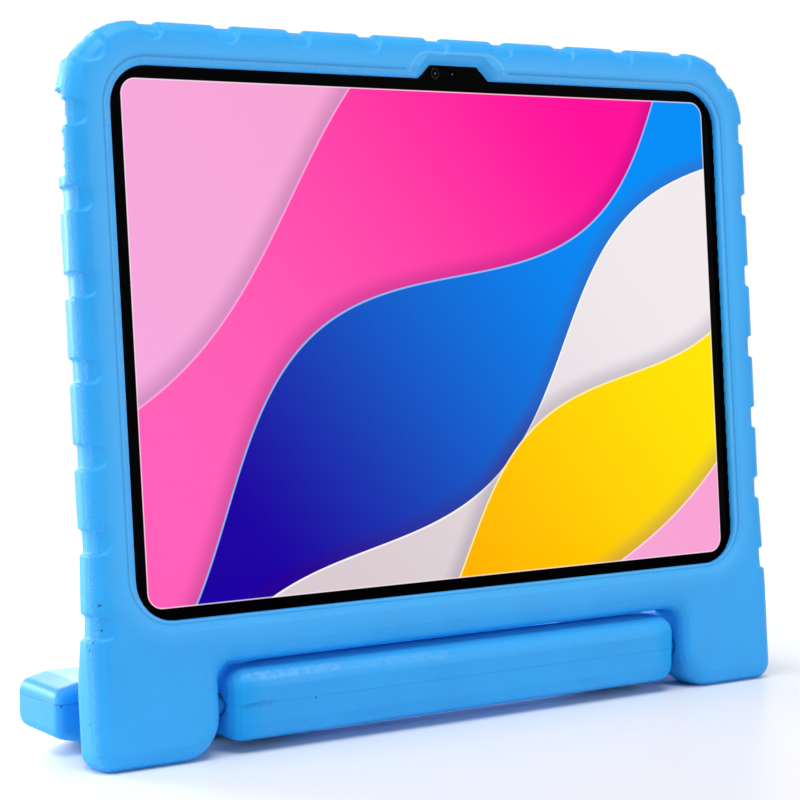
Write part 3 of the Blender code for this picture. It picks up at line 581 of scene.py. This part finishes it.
def handle_marks(tree, place):
    """Where the handle's skin has painted highlights, painted sheen and painted shade, and where it is
    dull, in the arch.
    """
    across, behind, up = parts_of(tree, place)
    # The parting line of the handle: a broken line of painted shade in its groove, darker on the grip.
    on_grip = between(tree, behind, *SEAM_STEP)
    grip_seam = worked(tree, "MULTIPLY_ADD", behind, GRIP_SEAM_SLOPE, GRIP_SEAM)
    raised = worked(tree, "MULTIPLY", worked(tree, "SUBTRACT", grip_seam, BAR_SEAM), on_grip)
    off_seam = worked(tree, "SUBTRACT", worked(tree, "SUBTRACT", up, BAR_SEAM), raised)
    strength = worked(tree, "MAXIMUM", worked(tree, "MULTIPLY", on_grip, GRIP_SEAM_SHADE), BAR_SEAM_SHADE)
    seam = combined(tree, "MULTIPLY", [
        line_at_zero(tree, off_seam, PARTING_WIDTH), strength,
        between(tree, noise(tree, *SEAM_NOISE, place), *SEAM_GREYS)])
    # The scuff on the bar's front: a real scuff, torn, and drawn darker as the painted shade in its
    # dent.
    torn = between(tree, noise(tree, *SCUFF_NOISE, place), *SCUFF_GREYS)
    (left, low), (right, high) = SCUFF
    scuffed = stroke(tree, place, (left, BAR_FRONT, low), (right, BAR_FRONT, high), SCUFF_RADIUS)
    scuff = combined(tree, "MULTIPLY", [scuffed, torn, SCUFF_SHADE])
    # Pits in the bar's front and one in the ear, painted dark as the shade in them.
    pits = [stroke(tree, place, (x, BAR_FRONT - BAR_PIT_DEPTH, z), (x, BAR_FRONT + BAR_PIT_DEPTH, z),
                   PIT_RADIUS) for x, z in BAR_PITS]
    pits.append(stroke(tree, place, *EAR_PIT, EAR_PIT_RADIUS))
    # Painted shade: along the parting line, in the scuff and in the pits.
    dark = combined(tree, "MAXIMUM", [seam, scuff] + pits)
    # A flecked painted sheen along the upper rounding of the bar, fainter towards the middle.
    flecks = between(tree, noise(tree, *STREAK_NOISE, place), *STREAK_GREYS, STREAK_LEAST, 1.0)
    bright = stroke(tree, place, SHEEN_STREAK[0], SHEEN_STREAK[1], STREAK_RADIUS)
    faint = stroke(tree, place, SHEEN_STREAK[1], SHEEN_STREAK[2], STREAK_RADIUS)
    sheen_streak = worked(tree, "MAXIMUM", bright, worked(tree, "MULTIPLY", faint, STREAK_FAINT))
    highlight_and_rub = combined(tree, "MULTIPLY", [sheen_streak, flecks, SHEEN_TINT])
    # The upper side of the bar painted lighter, a painted highlight.
    paler_and_highlight = between(tree, up, *UPPER_HIGHLIGHT, 0.0, UPPER_HIGHLIGHT_TINT)
    off_grip = worked(tree, "SUBTRACT", 1.0, on_grip)
    under_arch = worked(tree, "MULTIPLY", between(tree, up, *DULL_FROM), off_grip)
    past_end = between(tree, worked(tree, "ABSOLUTE", across), *DULL_END)
    dull = worked(tree, "MULTIPLY", worked(tree, "MAXIMUM", under_arch, past_end), off_grip)
    return paler_and_highlight, highlight_and_rub, dark, dull


handle_skin = foam_skin("handle_foam", handle_marks)
soft_moulding("handle_foam", "handle_stand", "handle", handle_skin, crowned)

# The hinge pins
# Two short pins of smooth moulded plastic, coloured a dark blue that is painted shade, the shade
# of the gaps they cross. They are a press fit in the ends of the bar and turn in the feet.
PIN_SHADE_BLUE = (0.008, 0.180, 0.500, 1.0)
PIN_SHADE_BLUE_WORN = (0.012, 0.210, 0.560, 1.0)
PIN_GLOSS = 0.1
PIN_ROUGHNESS = (0.42, 0.55)
PIN_NOISE = (400.0, 4.0)
PIN_GREYS = (0.3, 0.7)
PIN_BUMP = (0.2, 0.0001)


def pin_finish():
    """Smooth plastic with a little wear, in a dark blue painted as the shade of the gaps round it."""
    material = bpy.data.materials.new("pin_plastic")
    tree, out = node_tree(material)
    place = tree.nodes.new("ShaderNodeTexCoord").outputs["Object"]
    highlight_and_rub = noise(tree, *PIN_NOISE, place)
    plastic = tree.nodes.new("ShaderNodeBsdfPrincipled")
    plastic.inputs["Specular IOR Level"].default_value = PIN_GLOSS
    tree.links.new(mixed(tree, highlight_and_rub, PIN_SHADE_BLUE, PIN_SHADE_BLUE_WORN), plastic.inputs["Base Color"])
    tree.links.new(between(tree, highlight_and_rub, *PIN_GREYS, *PIN_ROUGHNESS), plastic.inputs["Roughness"])
    tree.links.new(bumped(tree, highlight_and_rub, *PIN_BUMP), plastic.inputs["Normal"])
    tree.links.new(plastic.outputs[0], out.inputs["Surface"])
    return material


def finish_node(node, material):
    """Give a solid of the frame its finish."""
    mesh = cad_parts[node].data
    mesh.materials.clear()
    mesh.materials.append(material)


pin_plastic = pin_finish()
finish_node("hinge_pin_left", pin_plastic)
finish_node("hinge_pin_right", pin_plastic)

# The tablet's metal
# The housing, the ring round the rear camera and the power button are blasted aluminium. The
# charging socket is a drawn steel shell.
ALUMINIUM = (0.40, 0.41, 0.43, 1.0)
ALUMINIUM_LIGHT = (0.47, 0.48, 0.50, 1.0)
ALUMINIUM_ROUGHNESS = 0.40
ALUMINIUM_GRAIN = (5000.0, 2.0)
STEEL = (0.42, 0.42, 0.43, 1.0)
STEEL_LIGHT = (0.52, 0.52, 0.53, 1.0)
STEEL_ROUGHNESS = 0.28
STEEL_GRAIN = (2500.0, 2.0)
METAL_PATCHES = (60.0, 3.0)
METAL_GREYS = (0.3, 0.7)
METAL_UNEVEN = 0.04
METAL_BUMP = (0.25, 0.00005)


def metal_finish(name, dark, light, roughness, grain_noise):
    """Bare metal with a fine even grain."""
    material = bpy.data.materials.new(name)
    tree, out = node_tree(material)
    place = tree.nodes.new("ShaderNodeTexCoord").outputs["Object"]
    grain = noise(tree, *grain_noise, place)
    patches = noise(tree, *METAL_PATCHES, place)
    metal = tree.nodes.new("ShaderNodeBsdfPrincipled")
    metal.inputs["Metallic"].default_value = 1.0
    tree.links.new(mixed(tree, patches, dark, light), metal.inputs["Base Color"])
    uneven = between(tree, patches, *METAL_GREYS, roughness - METAL_UNEVEN, roughness + METAL_UNEVEN)
    tree.links.new(uneven, metal.inputs["Roughness"])
    tree.links.new(bumped(tree, grain, *METAL_BUMP), metal.inputs["Normal"])
    tree.links.new(metal.outputs[0], out.inputs["Surface"])
    return material


blasted_aluminium = metal_finish("blasted_aluminium", ALUMINIUM, ALUMINIUM_LIGHT,
                                 ALUMINIUM_ROUGHNESS, ALUMINIUM_GRAIN)
drawn_steel = metal_finish("drawn_steel", STEEL, STEEL_LIGHT, STEEL_ROUGHNESS, STEEL_GRAIN)
for node in ("tablet_housing", "rear_camera_ring", "power_button"):
    finish_node(node, blasted_aluminium)
finish_node("charging_socket", drawn_steel)

# The glass and its picture
# Cover glass, printed black round its edge, with the lit panel bonded behind it. The panel
# shows flowing diagonal waves, each with a thin light rim and a soft shadow on the next one.
DISPLAY_HALF = (0.11353, 0.0789)
DISPLAY_CORNER = 0.0050
DISPLAY_BLUR = 0.00012
DISPLAY_EDGE = 0.00045
EDGE_WHITE = (1.0, 0.93, 0.98, 1.0)
EDGE_SHARE = 0.6
WAVE_SLANT = math.radians(38.0)
WAVE_RUN = (-0.10, 0.10)
RIM_WIDTH = 0.00055
RIM_SHARE = 0.85
SHADOW_WIDTH = 0.0075
SHADOW_SHARE = 0.30
SHADOW_VIOLET = (0.05, 0.0, 0.10, 1.0)
BORDER_BLACK = (0.0002, 0.0002, 0.0003, 1.0)
UNLIT = (0.0, 0.0, 0.0, 1.0)
GLASS_ROUGHNESS = 0.06
GLASS_GLOSS = 0.005
GROUND_RUN = (-0.12, 0.12)
GROUND_PINK = ((0.930, 0.400, 0.740, 1.0), (0.950, 0.360, 0.640, 1.0))
WAVES = (
    {"level": 0.070, "swing": 0.016, "length": 0.270, "phase": 0.4, "colours":
     ((1.000, 0.120, 0.480, 1.0), (1.000, 0.004, 0.330, 1.0)), "rim": (1.000, 0.400, 0.780, 1.0)},
    {"level": 0.012, "swing": 0.021, "length": 0.230, "phase": 2.7, "colours":
     ((0.012, 0.0, 0.360, 1.0), (0.000, 0.270, 0.950, 1.0)), "rim": (0.300, 0.560, 1.000, 1.0)},
    {"level": -0.032, "swing": 0.015, "length": 0.205, "phase": 5.2, "colours":
     ((0.700, 0.600, 0.640, 1.0), (0.880, 0.830, 0.860, 1.0)), "rim": (1.000, 0.980, 0.990, 1.0)},
    {"level": -0.058, "swing": 0.013, "length": 0.180, "phase": 1.4, "colours":
     ((1.000, 0.370, 0.000, 1.0), (1.000, 0.800, 0.000, 1.0)), "rim": (1.000, 0.930, 0.420, 1.0)},
    {"level": -0.098, "swing": 0.010, "length": 0.240, "phase": 3.6, "colours":
     ((0.930, 0.400, 0.740, 1.0), (0.950, 0.360, 0.640, 1.0)), "rim": (1.000, 0.720, 0.900, 1.0)},
)


def laid_wave(tree, picture, along, rise, wave):
    """Lay one wave over the picture so far."""
    turn = worked(tree, "MULTIPLY_ADD", along, 2.0 * math.pi / wave["length"], wave["phase"])
    edge = worked(tree, "MULTIPLY_ADD", worked(tree, "SINE", turn), wave["swing"], wave["level"])
    below = worked(tree, "SUBTRACT", edge, rise)
    shade = between(tree, below, -SHADOW_WIDTH, 0.0, 0.0, SHADOW_SHARE)
    shaded = mixed(tree, shade, picture, SHADOW_VIOLET)
    body = mixed(tree, between(tree, along, *WAVE_RUN), *wave["colours"])
    rim = between(tree, below, RIM_WIDTH, RIM_WIDTH * 1.5, RIM_SHARE, 0.0)
    rimmed = mixed(tree, rim, body, wave["rim"])
    return mixed(tree, between(tree, below, 0.0, DISPLAY_BLUR), shaded, rimmed)


def glass_finish():
    """Black-bordered glass over the lit picture."""
    material = bpy.data.materials.new("cover_glass")
    tree, out = node_tree(material)
    across, _, up = case_place(tree)
    along = worked(tree, "ADD", worked(tree, "MULTIPLY", across, math.cos(WAVE_SLANT)),
                   worked(tree, "MULTIPLY", up, math.sin(WAVE_SLANT)))
    rise = worked(tree, "SUBTRACT", worked(tree, "MULTIPLY", up, math.cos(WAVE_SLANT)),
                  worked(tree, "MULTIPLY", across, math.sin(WAVE_SLANT)))
    picture = mixed(tree, between(tree, along, *GROUND_RUN), *GROUND_PINK)
    for wave in WAVES:
        picture = laid_wave(tree, picture, along, rise, wave)
    reach = rounded_reach(tree, across, up, DISPLAY_HALF, DISPLAY_CORNER)
    edge = between(tree, reach, -DISPLAY_EDGE, -DISPLAY_EDGE / 2, 0.0, EDGE_SHARE)
    picture = mixed(tree, edge, picture, EDGE_WHITE)
    lit = between(tree, reach, -DISPLAY_BLUR, DISPLAY_BLUR, 1.0, 0.0)
    glass = tree.nodes.new("ShaderNodeBsdfPrincipled")
    glass.inputs["Base Color"].default_value = BORDER_BLACK
    glass.inputs["Roughness"].default_value = GLASS_ROUGHNESS
    glass.inputs["Specular IOR Level"].default_value = GLASS_GLOSS
    tree.links.new(mixed(tree, lit, UNLIT, picture), glass.inputs["Emission Color"])
    glass.inputs["Emission Strength"].default_value = 1.0
    tree.links.new(glass.outputs[0], out.inputs["Surface"])
    return material


finish_node("tablet_glass", glass_finish())

# The display panel
# The panel itself is bonded to the back of the glass, out of sight: dark, with a fine grid of
# cells.
CELLS_PER_METRE = 400.0
CELL_COLOURS = {"Color1": (0.02, 0.02, 0.03, 1.0), "Color2": (0.03, 0.02, 0.03, 1.0),
                "Mortar": (0.0, 0.0, 0.0, 1.0)}
PANEL_ROUGHNESS = 0.3


def panel_finish():
    """A dark panel with a fine grid."""
    material = bpy.data.materials.new("display_panel")
    tree, out = node_tree(material)
    place = tree.nodes.new("ShaderNodeTexCoord").outputs["Object"]
    cells = tree.nodes.new("ShaderNodeTexBrick")
    cells.inputs["Scale"].default_value = CELLS_PER_METRE
    for socket, colour in CELL_COLOURS.items():
        cells.inputs[socket].default_value = colour
    tree.links.new(place, cells.inputs["Vector"])
    panel = tree.nodes.new("ShaderNodeBsdfPrincipled")
    tree.links.new(cells.outputs["Color"], panel.inputs["Base Color"])
    panel.inputs["Roughness"].default_value = PANEL_ROUGHNESS
    tree.links.new(panel.outputs[0], out.inputs["Surface"])
    return material


finish_node("tablet_display", panel_finish())

# The cameras and the light sensor
# Small coated lenses, set in the glass and in the rear ring. Each camera has a dim grey ring, a
# dark throat and a pale glint, and the sensor has only the throat and the glint.
LENS_RING = (0.034, 0.034, 0.040, 1.0)
LENS_THROAT = (0.001, 0.001, 0.002, 1.0)
LENS_GLINT = (0.160, 0.160, 0.175, 1.0)
LENS_ROUGHNESS = 0.08
LENS_GLOSS = 0.006
RING_INSIDE = (0.78, 0.86)
RING_OUTSIDE = (0.92, 1.0)


def lens_finish(name, node, radius, glint_share, ring_colour):
    """Rings of coated glass round the middle of a lens."""
    material = bpy.data.materials.new(name)
    tree, out = node_tree(material)
    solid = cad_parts[node]
    corners = [WORLD_TO_CASE @ (solid.matrix_world @ Vector(corner)) for corner in solid.bound_box]
    middle = sum(corners, Vector()) / len(corners)
    across, _, up = case_place(tree)
    across = worked(tree, "SUBTRACT", across, middle.x)
    up = worked(tree, "SUBTRACT", up, middle.z)
    squares = worked(tree, "ADD", *[worked(tree, "MULTIPLY", value, value) for value in (across, up)])
    out_by = worked(tree, "DIVIDE", worked(tree, "SQRT", squares), radius)
    ring = worked(tree, "MULTIPLY", between(tree, out_by, *RING_INSIDE),
                  between(tree, out_by, *RING_OUTSIDE, 1.0, 0.0))
    glint = between(tree, out_by, glint_share * 0.4, glint_share, 1.0, 0.0)
    colour = mixed(tree, glint, LENS_THROAT, LENS_GLINT)
    colour = mixed(tree, ring, colour, ring_colour)
    lens = tree.nodes.new("ShaderNodeBsdfPrincipled")
    tree.links.new(colour, lens.inputs["Base Color"])
    lens.inputs["Roughness"].default_value = LENS_ROUGHNESS
    lens.inputs["Specular IOR Level"].default_value = LENS_GLOSS
    tree.links.new(lens.outputs[0], out.inputs["Surface"])
    finish_node(node, material)


lens_finish("front_lens", "front_camera", radius=0.0017, glint_share=0.26, ring_colour=LENS_RING)
lens_finish("sensor_lens", "light_sensor", radius=0.0008, glint_share=0.50, ring_colour=LENS_THROAT)
lens_finish("rear_lens", "rear_camera_lens", radius=0.0046, glint_share=0.16, ring_colour=LENS_RING)
